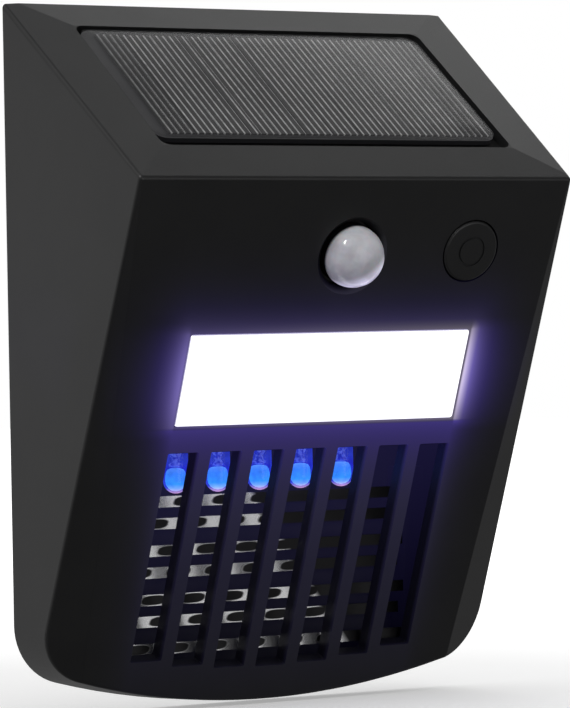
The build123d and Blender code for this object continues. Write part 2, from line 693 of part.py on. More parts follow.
def comb(y, heights, side, gap=0.0):
    """A stamped metal comb: a spine on one side and rungs that reach to the other side."""
    thick = RUNG_THICKNESS / 2 + gap
    tall = RUNG_HEIGHT / 2 + gap
    spine_inner = side * (RUNG_HALF_LENGTH + 0.6)
    spine_outer = side * (RUNG_HALF_LENGTH + 0.6 + SPINE_WIDTH)
    low_x = min(spine_inner, spine_outer) - gap
    high_x = max(spine_inner, spine_outer) + gap
    piece = block((low_x, high_x), (y - thick, y + thick), (min(heights) - tall, max(heights) + tall))
    far_end = -side * (RUNG_HALF_LENGTH + gap)
    for z in heights:
        ends = sorted((far_end, spine_inner))
        piece += block(ends, (y - thick, y + thick), (z - tall, z + tall))
    return piece


def front_comb(gap=0.0):
    """The comb nearer to the grille, with its spine on the left."""
    return comb(FRONT_RUNG_Y, rung_heights(FRONT_RUNG_TOP_Z, FRONT_RUNG_COUNT), -1, gap)


def back_comb(gap=0.0):
    """The comb nearer to the rear cover, with its spine on the right."""
    return comb(BACK_RUNG_Y, rung_heights(BACK_RUNG_TOP_Z, BACK_RUNG_COUNT), 1, gap)


def grid_post(side):
    """An insulating post with pockets for the ends of both combs."""
    inner, outer = sorted((side * POST_INNER_X, side * POST_OUTER_X))
    post = block((inner, outer), (POST_FRONT_Y, -COVER_THICKNESS), (POST_LOW_Z, POST_TOP_Z))
    post -= housing_cut()
    post -= front_comb(POCKET_GAP)
    post -= back_comb(POCKET_GAP)
    for lead_side, lead_y, comb_top in GRID_LEADS:
        lead_x = grid_lead_points(lead_side, lead_y, comb_top)[-1][0]
        post -= Pos(lead_x, lead_y, 0) * disc(WIRE_RADIUS + 0.1, comb_top - 0.2, POST_TOP_Z + 1)
    return max(post.solids(), key=lambda piece: piece.volume)


def housing_cut():
    """The space that the grille's inner side takes up, so that the posts stop short of it."""
    return FRONT * block((-BIG / 2, BIG / 2), (-BIG / 2, BIG / 2), (-GRILLE_DEPTH - 0.15, 50))


# ---- Battery

def battery_cell():
    """The rechargeable cell, lying across the object, with its raised end cap."""
    cell = Cylinder(CELL_RADIUS, CELL_LENGTH - 1.4)
    cell = fillet(cell.edges(), 0.8)
    cell += Pos(0, 0, CELL_LENGTH / 2 - 0.7) * Cylinder(2.8, 1.4)
    return Pos(0, CELL_Y, CELL_Z) * Rot(0, 90, 0) * cell


def battery_holder():
    """The open cradle on the rear cover that holds the cell."""
    reach = CELL_RADIUS + 0.2 + HOLDER_WALL
    cradle = block(
        (-HOLDER_END, HOLDER_END), (CELL_Y - 3.0, -COVER_THICKNESS), (CELL_Z - reach, CELL_Z + reach)
    )
    bore = Pos(0, CELL_Y, CELL_Z) * Rot(0, 90, 0) * Cylinder(CELL_RADIUS + 0.2, CELL_LENGTH + 5.0)
    mouth = block(
        (-CELL_LENGTH / 2 - 2.5, CELL_LENGTH / 2 + 2.5),
        (CELL_Y - 10, CELL_Y),
        (CELL_Z - CELL_RADIUS - 0.2, CELL_Z + CELL_RADIUS + 0.2),
    )
    pocket_half = KEYHOLE_ENTRY_RADIUS + 2.7
    clearance = block(
        (-pocket_half, pocket_half),
        (-KEYHOLE_DEPTH - 1.4, 1),
        (KEYHOLE_Z - pocket_half, TOP_Z),
    )
    return cradle - bore - mouth - clearance


def battery_contacts():
    """The two nickel plates at the ends of the cell."""
    plates = []
    for side in (-1, 1):
        near, far = sorted((side * (CELL_LENGTH / 2 + 0.1), side * (CELL_LENGTH / 2 + 0.6)))
        contact = block((near, far), (CELL_Y - 4.5, CELL_Y + 4.5), (CELL_Z - 4.5, CELL_Z + 4.5))
        tab_near, tab_far = sorted((side * (CELL_LENGTH / 2 + 0.1), side * (CELL_LENGTH / 2 + 2.4)))
        contact += block((tab_near, tab_far), (CELL_Y - 4.5, CELL_Y - 4.0), (CELL_Z - 2.0, CELL_Z + 2.0))
        plates.append(contact)
    return plates


# ---- Main board

BOARD_FACE_Y = MAIN_BOARD_BACK_Y - BOARD_THICKNESS


def main_board():
    """The upright circuit board that charges the cell and makes the high voltage."""
    board = block(
        (-MAIN_BOARD_HALF_WIDTH, MAIN_BOARD_HALF_WIDTH),
        (BOARD_FACE_Y, MAIN_BOARD_BACK_Y),
        (MAIN_BOARD_LOW_Z, MAIN_BOARD_TOP_Z),
    )
    board = fillet(board.edges().filter_by(Axis.Y), 1.0)
    for x in (-MAIN_SCREW_X, MAIN_SCREW_X):
        for z in MAIN_SCREW_ZS:
            board -= disc_y(SMALL_SCREW_HOLE + 0.2, x, z, 1, -9)
    return board


def main_board_screws():
    """The four small screws that hold the main board to its posts."""
    screws = []
    for x in (-MAIN_SCREW_X, MAIN_SCREW_X):
        for z in MAIN_SCREW_ZS:
            screw = disc_y(SMALL_HEAD_RADIUS, x, z, BOARD_FACE_Y, BOARD_FACE_Y - 1.3)
            screw += disc_y(SMALL_SCREW_RADIUS, x, z, BOARD_FACE_Y - 0.5, -1.5)
            screws.append(screw)
    return screws


def on_board(x, z, width, height, thickness):
    """A box-shaped component standing on the front of the main board."""
    near = BOARD_FACE_Y
    return block(
        (x - width / 2, x + width / 2),
        (near - thickness, near),
        (z - height / 2, z + height / 2),
    )


def hv_transformer():
    """The small transformer: a ferrite core round a wound bobbin."""
    core = on_board(-22, 3.5, 13.0, 15.0, 10.0)
    core -= block((-25.5, -18.5), (BOARD_FACE_Y - 11, BOARD_FACE_Y - 1.5), (-1.5, 8.5))
    winding = disc_y(3.4, -22, 3.5, BOARD_FACE_Y - 1.5, BOARD_FACE_Y - 8.8)
    return core + winding


def hv_capacitors():
    """The three film capacitors of the voltage multiplier."""
    capacitors = []
    for index in range(3):
        capacitor = on_board(-6.0 + index * 8.0, 1.0, 5.0, 12.0, 9.5)
        capacitors.append(fillet(capacitor.edges().filter_by(Axis.Y), 1.2))
    return capacitors


def hv_diodes():
    """The row of small diodes above the capacitors."""
    diodes = []
    for index in range(4):
        x = -8.0 + index * 6.4
        diodes.append(Pos(x, BOARD_FACE_Y - 1.4, 11.6) * Rot(0, 90, 0) * Cylinder(1.35, 4.6))
    return diodes


def charge_controller():
    """The chip that charges the cell and switches the light."""
    return on_board(26.0, 4.0, 8.0, 6.0, 1.8)


def board_connectors():
    """The two plug sockets along the top of the main board."""
    sockets = []
    for x in (-14.0, 18.0):
        socket = on_board(x, 19.0, 9.0, 5.4, 5.6)
        socket -= block((x - 3.7, x + 3.7), (BOARD_FACE_Y - 7, BOARD_FACE_Y - 1.2), (17.4, 20.6))
        sockets.append(socket)
    return sockets


# ---- Wires held inside the housing

def wire(points, bends):
    """A round insulated wire along straight runs joined by arcs."""
    path = FilletPolyline(*points, radius=bends)
    section = Plane(origin=path @ 0, z_dir=path % 0) * Circle(WIRE_RADIUS)
    return sweep(section, path=path)


def solar_leads():
    """The pair of wires from the solar panel, in front of the cell, to the main board."""
    recess_middle = (RECESS_START + RECESS_END) / 2
    exit_point = (TOP * Pos(RECESS_SHIFT, recess_middle, -RECESS_DEPTH - RECESS_FLOOR - 1.2)).position
    front_y = CELL_Y - CELL_RADIUS - 3.5
    leads = []
    for offset in (-0.9, 0.9):
        points = [
            (offset, exit_point.Y, exit_point.Z),
            (offset + 1.0, front_y, exit_point.Z - 5.0),
            (offset + 8.0, front_y - 1.0, CELL_Z - 4.0),
            (18.0 + offset, front_y + 2.0, 21.0),
            (18.0 + offset, BOARD_FACE_Y - 1.4, 19.0),
        ]
        leads.append(wire(points, 3.0))
    return leads


def battery_leads():
    """The wires from the two contact plates to the other socket of the main board."""
    tab_y = CELL_Y - 4.5
    front_y = CELL_Y - CELL_RADIUS - 2.0
    left = [
        (-CELL_LENGTH / 2 - 1.6, tab_y, CELL_Z),
        (-CELL_LENGTH / 2 - 1.6, front_y, CELL_Z - 1.0),
        (-26.0, front_y - 1.0, 21.0),
        (-15.2, -18.0, 19.0),
        (-15.2, BOARD_FACE_Y - 1.4, 19.0),
    ]
    right = [
        (CELL_LENGTH / 2 + 1.6, tab_y, CELL_Z),
        (CELL_LENGTH / 2 + 1.6, front_y - 4.5, CELL_Z - 1.0),
        (22.0, front_y - 4.0, 19.5),
        (0.0, front_y - 2.0, 17.5),
        (-12.8, -19.0, 19.0),
        (-12.8, BOARD_FACE_Y - 1.4, 19.0),
    ]
    return [wire(left, 2.5), wire(right, 2.5)]


def grid_lead_points(side, comb_y, comb_top):
    """The route of one high-voltage wire from the main board down to a comb's spine."""
    spine_x = side * (RUNG_HALF_LENGTH + 0.6 + SPINE_WIDTH / 2)
    return [
        (side * 31.0, BOARD_FACE_Y, -3.0),
        (side * 31.0, BOARD_FACE_Y - 4.0, -4.0),
        (spine_x, BOARD_FACE_Y - 4.0, -10.5),
        (spine_x, comb_y, PARTITION_TOP_Z + 0.5),
        (spine_x, comb_y, comb_top),
    ]


GRID_LEADS = (
    (-1, FRONT_RUNG_Y, FRONT_RUNG_TOP_Z + RUNG_HEIGHT / 2),
    (1, BACK_RUNG_Y, BACK_RUNG_TOP_Z + RUNG_HEIGHT / 2),
)


def grid_leads():
    """The two high-voltage wires that feed the combs."""
    return [wire(grid_lead_points(*lead), 1.6) for lead in GRID_LEADS]


def lamp_leads():
    """The pair of wires from the main board to the lamp board."""
    board_top = PARTITION_TOP_Z + HOLDER_LIP_HEIGHT + LAMP_BOARD_THICKNESS
    leads = []
    for offset in (0.0, 2.0):
        x = 13.5 + offset
        points = [
            (x, LAMP_Y - 2.6, board_top),
            (x, LAMP_Y - 3.4, -9.0),
            (x + 4.0, BOARD_FACE_Y - 6.0, -5.0),
            (x + 4.0, BOARD_FACE_Y, -4.0),
        ]
        leads.append(wire(points, 2.0))
    return leads


def board_link():
    """The three wires that join the main board to the front board."""
    wires = []
    for index in range(3):
        x = -36.0 + index * 1.9
        start = (FRONT * Pos(x, -30.0, BOARD_FRONT - BOARD_THICKNESS)).position
        points = [
            (x, start.Y, start.Z),
            (x, start.Y + 5.0, start.Z + 1.0),
            (x, BOARD_FACE_Y - 5.0, 11.0),
            (x, BOARD_FACE_Y, 11.0),
        ]
        wires.append(wire(points, 3.0))
    return wires


NODES = {
    "front_housing": front_housing,
    "rear_cover": rear_cover,
    "housing_seal": housing_seal,
    "cover_screws": cover_screws,
    "solar_adhesive": solar_adhesive,
    "solar_backing": solar_backing,
    "solar_cells": solar_cells,
    "solar_glass": solar_glass,
    "sensor_lens": sensor_lens,
    "lens_seal": lens_seal,
    "motion_sensor": motion_sensor,
    "button_cap": button_cap,
    "button_seal": button_seal,
    "switch_body": switch_body,
    "switch_plunger": switch_plunger,
    "light_window": light_window,
    "light_reflector": light_reflector,
    "front_board": front_board,
    "light_leds": light_leds,
    "front_board_screws": front_board_screws,
    "uv_lamp_holder": uv_lamp_holder,
    "uv_lamp_board": uv_lamp_board,
    "grid_front_comb": front_comb,
    "grid_back_comb": back_comb,
    "battery_cell": battery_cell,
    "battery_holder": battery_holder,
    "battery_contacts": battery_contacts,
    "main_board": main_board,
    "main_board_screws": main_board_screws,
    "hv_transformer": hv_transformer,
    "hv_capacitors": hv_capacitors,
    "hv_diodes": hv_diodes,
    "charge_controller": charge_controller,
    "board_connectors": board_connectors,
    "solar_leads": solar_leads,
    "battery_leads": battery_leads,
    "grid_leads": grid_leads,
    "lamp_leads": lamp_leads,
    "board_link": board_link,
}


def save(name, piece):
    """Write one node to its own file; a list of solids becomes one group."""
    if isinstance(piece, list):
        piece = Compound(children=[solid for item in piece for solid in item.solids()])
    export_step(piece, os.path.join("parts", name + ".step"))


os.makedirs("parts", exist_ok=True)
for node_name, make in NODES.items():
    save(node_name, make())
for number, lamp_x in enumerate(lamp_places(), start=1):
    save(f"uv_lamp_{number}", uv_lamp(lamp_x))
save("grid_post_left", grid_post(-1))
save("grid_post_right", grid_post(1))
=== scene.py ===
import json
import math

import bmesh
import bpy
from mathutils import Matrix, Vector


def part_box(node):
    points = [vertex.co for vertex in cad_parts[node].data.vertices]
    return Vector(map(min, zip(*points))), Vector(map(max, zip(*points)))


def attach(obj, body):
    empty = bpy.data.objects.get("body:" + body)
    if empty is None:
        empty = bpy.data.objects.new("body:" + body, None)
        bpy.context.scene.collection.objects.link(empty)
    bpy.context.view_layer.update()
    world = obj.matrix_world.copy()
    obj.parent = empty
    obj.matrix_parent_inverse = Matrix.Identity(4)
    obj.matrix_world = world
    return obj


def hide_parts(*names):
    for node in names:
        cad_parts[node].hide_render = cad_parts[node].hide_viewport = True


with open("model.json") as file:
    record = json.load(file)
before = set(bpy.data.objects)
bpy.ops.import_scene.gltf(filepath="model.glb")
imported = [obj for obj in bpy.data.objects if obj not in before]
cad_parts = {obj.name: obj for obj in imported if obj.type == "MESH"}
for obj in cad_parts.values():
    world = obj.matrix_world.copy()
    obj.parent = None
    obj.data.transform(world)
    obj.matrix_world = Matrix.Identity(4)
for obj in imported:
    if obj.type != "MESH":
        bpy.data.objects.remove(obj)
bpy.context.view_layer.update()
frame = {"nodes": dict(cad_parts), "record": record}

# Everything is in metres, in the frame of the CAD model: +Z up, the flat back in the plane y = 0,
# the front towards -Y.
MM = 0.001
NODES = frame["nodes"]

# ---- The shape's driving values, the same as the part's own
HEIGHT = 138.8 * MM
TOP_DEPTH = 47.2 * MM
TOP_DROP = 35.6 * MM
BOTTOM_DEPTH = 8.2 * MM
EDGE_Z = HEIGHT / 2 - TOP_DROP
BOTTOM_Z = -HEIGHT / 2


def face_axes(normal):
    """The axes of a sloping face: across, up the face, and straight out of it."""
    out = Vector(normal).normalized()
    across = Vector((1, 0, 0))
    return across, out.cross(across), out


EDGE = Vector((0, -TOP_DEPTH, EDGE_Z))
FRONT_AXES = face_axes((0, -(EDGE_Z - BOTTOM_Z), -(TOP_DEPTH - BOTTOM_DEPTH)))
TOP_AXES = face_axes((0, -TOP_DROP, TOP_DEPTH))


def face_place(axes, u, v):
    """A matrix that puts a piece on a sloping face, u across it and v up it from the edge."""
    across, up, out = axes
    place = Matrix((across, up, out)).transposed().to_4x4()
    place.translation = EDGE + across * u + up * v
    return place


# ---- Camera
CAMERA_PLACE = Vector((-0.4609, -0.7219, EDGE_Z - 0.0266))
CAMERA_YAW = 0.58
CAMERA_PITCH = 0.009
CAMERA_ROLL = -0.018
CAMERA_LENS = 216.9
CAMERA_SENSOR = 36


def make_camera():
    """A camera with a long lens, in front of the object and to its left."""
    ahead = Vector((
        math.sin(CAMERA_YAW) * math.cos(CAMERA_PITCH),
        math.cos(CAMERA_YAW) * math.cos(CAMERA_PITCH),
        -math.sin(CAMERA_PITCH),
    ))
    level = Vector((math.cos(CAMERA_YAW), -math.sin(CAMERA_YAW), 0))
    upright = level.cross(ahead)
    right = level * math.cos(CAMERA_ROLL) + upright * math.sin(CAMERA_ROLL)
    up = upright * math.cos(CAMERA_ROLL) - level * math.sin(CAMERA_ROLL)
    data = bpy.data.cameras.new("camera")
    data.sensor_fit = "VERTICAL"
    data.sensor_height = CAMERA_SENSOR
    data.lens = CAMERA_LENS
    data.clip_start = 0.01
    data.clip_end = 20
    camera = bpy.data.objects.new("camera", data)
    turn = Matrix((right, up, -ahead)).transposed().to_4x4()
    turn.translation = CAMERA_PLACE
    camera.matrix_world = turn
    bpy.context.scene.collection.objects.link(camera)
    bpy.context.scene.camera = camera


# ---- Node building
NOISE_LOW = 0.3             # the range that most of a noise texture's values lie in
NOISE_HIGH = 0.7


class Shade:
    """A new material and short ways to add nodes to it."""

    def __init__(self, name):
        self.material = bpy.data.materials.new(name)
        self.material.use_nodes = True
        self.tree = self.material.node_tree
        self.shader = self.tree.nodes["Principled BSDF"]

    def node(self, kind, values=None, **settings):
        """A node with its settings, and its input values or the outputs they come from."""
        made = self.tree.nodes.new(kind)
        for key, value in settings.items():
            setattr(made, key, value)
        for key, value in (values or {}).items():
            self.feed(made.inputs[key], value)
        return made

    def feed(self, socket, value):
        """Set a socket, or link it to another node's output."""
        if isinstance(value, bpy.types.NodeSocket):
            self.tree.links.new(value, socket)
        else:
            socket.default_value = value

    def set(self, **values):
        """Set the main shader's sockets. Spaces in their names are written as underscores."""
        for key, value in values.items():
            self.feed(self.shader.inputs[key.replace("_", " ")], value)
        return self

    def place(self):
        """The position on the object, in metres."""
        return self.node("ShaderNodeTexCoord").outputs["Object"]

    def math(self, operation, first, second=0.0):
        """A maths node's result."""
        return self.node("ShaderNodeMath", {0: first, 1: second}, operation=operation).outputs[0]

    def add(self, *values):
        """The sum of several values."""
        result = values[0]
        for value in values[1:]:
            result = self.math("ADD", result, value)
        return result

    def less(self, first, second):
        """The first value less the second."""
        return self.math("SUBTRACT", first, second)

    def times(self, *values):
        """The product of several values."""
        result = values[0]
        for value in values[1:]:
            result = self.math("MULTIPLY", result, value)
        return result

    def over(self, first, second):
        """The first value divided by the second."""
        return self.math("DIVIDE", first, second)

    def power(self, value, exponent):
        """A value raised to a power."""
        return self.math("POWER", value, exponent)

    def size(self, value):
        """A value without its sign."""
        return self.math("ABSOLUTE", value)

    def past(self, value, start):
        """How far a value is above another, or 0 below it."""
        return self.math("MAXIMUM", self.less(value, start), 0.0)

    def noise(self, scale, detail=3.0, roughness=0.5, place=None):
        """The value of a noise texture of a scale per metre."""
        values = {"Scale": scale, "Detail": detail, "Roughness": roughness}
        values["Vector"] = place or self.place()
        return self.node("ShaderNodeTexNoise", values).outputs["Fac"]

    def remap(self, value, low, high, to_low, to_high):
        """A value moved from one range to another, held inside the new one."""
        values = {"Value": value, "From Min": low, "From Max": high}
        values.update({"To Min": to_low, "To Max": to_high})
        return self.node("ShaderNodeMapRange", values).outputs["Result"]

    def spread(self, noise, to_low=0.0, to_high=1.0):
        """A noise texture's usual range of values, moved to another range."""
        return self.remap(noise, NOISE_LOW, NOISE_HIGH, to_low, to_high)

    def rise(self, value, low, high):
        """From 0 to 1 as a value goes from low to high."""
        return self.remap(value, low, high, 0.0, 1.0)

    def drop(self, value, low, high):
        """From 1 to 0 as a value goes from low to high."""
        return self.remap(value, low, high, 1.0, 0.0)

    def mix(self, factor, first, second):
        """Two colours mixed by a factor."""
        made = self.node("ShaderNodeMix", data_type="RGBA")
        self.feed(made.inputs["Factor"], factor)
        self.feed(made.inputs["A"], first)
        self.feed(made.inputs["B"], second)
        return made.outputs["Result"]

    def bump(self, height, distance, under=None):
        """A normal raised by a height, over another normal if one is given."""
        values = {"Height": height, "Distance": distance, "Strength": 1.0}
        if under is not None:
            values["Normal"] = under
        return self.node("ShaderNodeBump", values).outputs["Normal"]

    def along(self, axis, place=None):
        """How far a place is along an axis."""
        values = {0: place or self.place(), 1: tuple(axis)}
        made = self.node("ShaderNodeVectorMath", values, operation="DOT_PRODUCT")
        return made.outputs["Value"]


def rgb(red, green, blue):
    """An opaque colour."""
    return (red, green, blue, 1.0)


def grey(level):
    """An opaque grey."""
    return rgb(level, level, level)


CLOUD_SCALE = 90.0          # how many of a pattern's waves go in a metre, here and below
FLOW_SCALE = 14.0
GRAIN_SCALE = 5200.0
GLOSS_SPREAD = 0.03         # how far the roughness strays to each side


def moulded_plastic(name, dark, light, rough, grain=0.012, specular=0.5):
    """Moulded plastic: a fine spark-eroded grain, faint flow marks and uneven gloss."""
    shade = Shade(name)
    place = shade.place()
    cloud = shade.noise(CLOUD_SCALE, 4.0, 0.6, place)
    flow = shade.noise(FLOW_SCALE, 2.0, 0.5, place)
    fine = shade.noise(GRAIN_SCALE, 3.0, 0.6, place)
    colour = shade.mix(shade.spread(cloud), dark, light)
    gloss = shade.spread(flow, rough - GLOSS_SPREAD, rough + GLOSS_SPREAD)
    gloss = shade.add(gloss, shade.spread(fine, -GLOSS_SPREAD, GLOSS_SPREAD))
    shade.set(Base_Color=colour, Roughness=gloss, Specular_IOR_Level=specular)
    shade.set(Normal=shade.bump(fine, grain * MM))
    return shade


# ---- The glow that the lit window and the lamps throw on the plastic round them
WINDOW_HALF_WIDTH = 32.7 * MM
WINDOW_HALF_HEIGHT = 9.55 * MM
WINDOW_V = -41.5 * MM
GLOW_NEAR = rgb(0.42, 0.33, 1.0)
GLOW_FAR = rgb(0.22, 0.145, 1.0)
GLOW_BLOOM = rgb(0.78, 0.68, 1.0)
GLOW_GRILLE = rgb(0.34, 0.29, 1.0)
# Each glow's reach and its strength at the window's edge
AROUND_WIDE = (3.6 * MM, 0.10)
AROUND_CLOSE = (0.8 * MM, 0.04)
SIDE_CLOSE = (1.2 * MM, 0.30)
SIDE_WIDE = (3.3 * MM, 0.30)
RIGHT_BLOOM = (0.9 * MM, 0.75)
BELOW_CLOSE = (8.0 * MM, 0.10)
BESIDE_GRILLE = (3.0 * MM, 1.0)
RIGHT_GAIN = 1.5            # the glow at the right against that at the left
BELOW_SHARE = 0.4           # the glow under the window against that over it
GRILLE_GLOW = 0.033         # what spreads down the grille's bars
GRILLE_REACH = 62 * MM
SIDE_HALF_HEIGHT = 12.0 * MM
WALL_GLOW = 0.2             # the glow inside the holes, against that on the face
DEEP_GLOW = 1.2             # and deep behind the grille, next to the lamps


def face_coordinates(shade):
    """How far a place is across the front face, up it from its top edge, and out of it."""
    across, up, out = FRONT_AXES
    place = shade.place()
    v = shade.less(shade.along(up, place), EDGE.dot(up))
    w = shade.less(shade.along(out, place), EDGE.dot(out))
    return shade.along(across, place), v, w


def fade(shade, distance, reach, strength):
    """A strength that falls off with a distance."""
    return shade.times(shade.math("EXPONENT", shade.times(distance, -1.0 / reach)), strength)


def window_glow(shade):
    """The colour and strength of the glow on the front, fading with distance from the window."""
    u, v, w = face_coordinates(shade)
    from_middle = shade.less(v, WINDOW_V)
    beside = shade.past(shade.size(u), WINDOW_HALF_WIDTH)
    beyond = shade.past(shade.size(from_middle), WINDOW_HALF_HEIGHT)
    below = shade.past(shade.times(from_middle, -1.0), WINDOW_HALF_HEIGHT)
    distance = shade.math("SQRT", shade.add(shade.power(beside, 2.0), shade.power(beyond, 2.0)))
    right = shade.rise(u, -0.03, 0.03)

    around = shade.add(fade(shade, distance, *AROUND_WIDE), fade(shade, distance, *AROUND_CLOSE))
    around = shade.times(around, shade.remap(below, 0.0, 0.3 * MM, 1.0, BELOW_SHARE))

    side_share = shade.over(beside, shade.add(beside, beyond, 0.3 * MM))
    sides = shade.add(fade(shade, distance, *SIDE_CLOSE), fade(shade, distance, *SIDE_WIDE))
    sides = shade.times(sides, shade.remap(right, 0.0, 1.0, 1.0, RIGHT_GAIN))
    sides = shade.add(sides, shade.times(fade(shade, distance, *RIGHT_BLOOM), right))
    toward_end = shade.power(shade.over(from_middle, SIDE_HALF_HEIGHT), 2.0)
    sides = shade.times(sides, side_share, shade.drop(toward_end, 0.0, 1.0))

    under = shade.remap(below, 0.0, GRILLE_REACH, GRILLE_GLOW, 0.0)
    under = shade.add(fade(shade, below, *BELOW_CLOSE), under)
    under = shade.times(under, shade.rise(below, 0.0, 0.6 * MM))
    under = shade.times(under, fade(shade, beside, *BESIDE_GRILLE))

    on_face = shade.add(
        shade.remap(w, -1.2 * MM, -0.35 * MM, WALL_GLOW, 1.0),
        shade.remap(w, -14.0 * MM, -9.0 * MM, DEEP_GLOW, 0.0),
    )
    strength = shade.times(shade.add(around, sides, under), on_face)
    colour = shade.mix(shade.rise(distance, 0.0, 6.0 * MM), GLOW_NEAR, GLOW_FAR)
    pale = shade.times(shade.drop(distance, 0.4 * MM, 2.2 * MM), right)
    colour = shade.mix(pale, colour, GLOW_BLOOM)
    colour = shade.mix(shade.rise(below, 0.0, 0.5 * MM), colour, GLOW_FAR)
    colour = shade.mix(shade.rise(below, 4.0 * MM, 18.0 * MM), colour, GLOW_GRILLE)
    return colour, strength


def housing_plastic():
    """The shell's plastic, with the window's glow on it."""
    dark = rgb(0.011, 0.011, 0.0115)
    light = rgb(0.015, 0.015, 0.0155)
    shade = moulded_plastic("housing_plastic", dark, light, 0.42)
    colour, strength = window_glow(shade)
    return shade.set(Emission_Color=colour, Emission_Strength=strength)


# ---- Simple finishes
METAL_GRAIN_SCALE = 900.0
METAL_GRAIN_DEPTH = 0.004 * MM
METAL_DULLER = 0.72         # the colour in a dull patch against the rest


def metal(name, colour, rough):
    """Bright metal with rolling marks and duller patches."""
    shade = Shade(name)
    place = shade.place()
    fine = shade.noise(METAL_GRAIN_SCALE, 5.0, 0.65, place)
    patch = shade.noise(260.0, 2.0, 0.5, place)
    darker = tuple(channel * METAL_DULLER for channel in colour[:3]) + (1.0,)
    shade.set(Base_Color=shade.mix(shade.rise(patch, 0.35, 0.7), colour, darker))
    shade.set(Metallic=1.0, Roughness=shade.spread(patch, rough, rough + 0.14))
    shade.set(Normal=shade.bump(fine, METAL_GRAIN_DEPTH))
    return shade


def rubber(name, colour):
    """Soft rubber with a dusty bloom."""
    shade = Shade(name)
    dust = shade.noise(420.0, 4.0, 0.6)
    paler = tuple(min(1.0, channel * 1.7 + 0.01) for channel in colour[:3]) + (1.0,)
    shade.set(Base_Color=shade.mix(shade.rise(dust, 0.45, 0.75), colour, paler))
    shade.set(Roughness=shade.spread(dust, 0.62, 0.8))
    shade.set(Normal=shade.bump(shade.noise(2600.0), 0.01 * MM))
    return shade


def circuit_board():
    """Green solder mask over a faint pattern of copper tracks."""
    shade = Shade("circuit_board")
    cells = shade.node("ShaderNodeTexBrick", {
        "Vector": shade.place(),
        "Scale": 260.0,
        "Mortar Size": 0.018,
        "Color1": rgb(0.012, 0.075, 0.03),
        "Color2": rgb(0.016, 0.09, 0.036),
        "Mortar": rgb(0.03, 0.16, 0.06),
    })
    shade.set(Base_Color=cells.outputs["Color"])
    shade.set(Roughness=shade.spread(shade.noise(300.0), 0.28, 0.4))
    shade.set(Normal=shade.bump(cells.outputs["Fac"], 0.03 * MM))
    return shade


# ---- The solar panel
SOLAR_LINES = 50.5          # printed lines across the cells
SOLAR_JOINT_LINE = 14.0     # the line at which two groups of cells meet out of step
SOLAR_JOINT_SHIFT = 0.45


def solar_silicon():
    """Dark speckled silicon crossed from front to back by fine printed silver lines."""
    shade = Shade("solar_silicon")
    across = TOP_AXES[0]
    place = shade.place()
    low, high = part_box("solar_cells")
    pitch = (high.x - low.x) / SOLAR_LINES
    count = shade.over(shade.less(shade.along(across, place), low.x), pitch)
    joint_end = SOLAR_JOINT_LINE + 0.02
    after_joint = shade.remap(count, SOLAR_JOINT_LINE, joint_end, 0.0, SOLAR_JOINT_SHIFT)
    phase = shade.math("FRACT", shade.less(count, after_joint))
    line = shade.drop(shade.size(shade.less(phase, 0.5)), 0.10, 0.15)
    wear = shade.noise(700.0, 3.0, 0.6, place)
    line = shade.times(line, shade.remap(wear, 0.3, 0.6, 0.55, 1.0))
    weave = shade.node("ShaderNodeTexVoronoi", {"Vector": place, "Scale": 1500.0}, feature="F1")
    speckle = shade.remap(weave.outputs["Distance"], 0.15, 0.6, 0.0, 0.7)
    cloud = shade.noise(40.0, 2.0, 0.5, place)
    silicon = shade.mix(shade.spread(cloud), rgb(0.030, 0.030, 0.031), rgb(0.046, 0.046, 0.048))
    silicon = shade.mix(speckle, silicon, rgb(0.008, 0.008, 0.009))
    shade.set(Base_Color=shade.mix(line, silicon, rgb(0.85, 0.85, 0.86)))
    shade.set(Roughness=shade.remap(line, 0.0, 1.0, 0.36, 0.5))
    shade.set(Normal=shade.bump(line, 0.015 * MM))
    return shade


BOW_RIGHT_START = -12.0 * MM    # where the cover starts to bow, across the top and up it
BOW_UP_START = 22.0 * MM
BOW_RIGHT_RADIUS = 0.50
BOW_UP_RADIUS = 0.30


def bulge(shade, distance, start, radius):
    """The fall of a surface that starts to curve away where a distance passes a start."""
    return shade.over(shade.power(shade.past(distance, start), 2.0), -2.0 * radius)


def clear_cover():
    """The clear resin over the cells, its skin uneven and bowed towards the back right corner."""
    shade = Shade("solar_clear")
    across, up = TOP_AXES[:2]
    place = shade.place()
    ripple = shade.noise(60.0, 2.0, 0.5, place)
    bow = shade.add(
        bulge(shade, shade.along(across, place), BOW_RIGHT_START, BOW_RIGHT_RADIUS),
        bulge(shade, shade.along(up, place), EDGE.dot(up) + BOW_UP_START, BOW_UP_RADIUS),
    )
    shade.set(Base_Color=rgb(0.07, 0.07, 0.075), Alpha=0.22, IOR=1.6)
    shade.set(Roughness=shade.spread(ripple, 0.20, 0.28))
    shade.set(Normal=shade.bump(ripple, 0.006 * MM, under=shade.bump(bow, 1.0)))
    return shade


# ---- The sensor's lens and the lit window
SENSOR_U = 0.9 * MM
SENSOR_V = -16.4 * MM
# The painted shade on the lens's barrel, which sits sunk in its hole below the face
BARREL_PAINTED_SHADE = rgb(0.012, 0.012, 0.014)


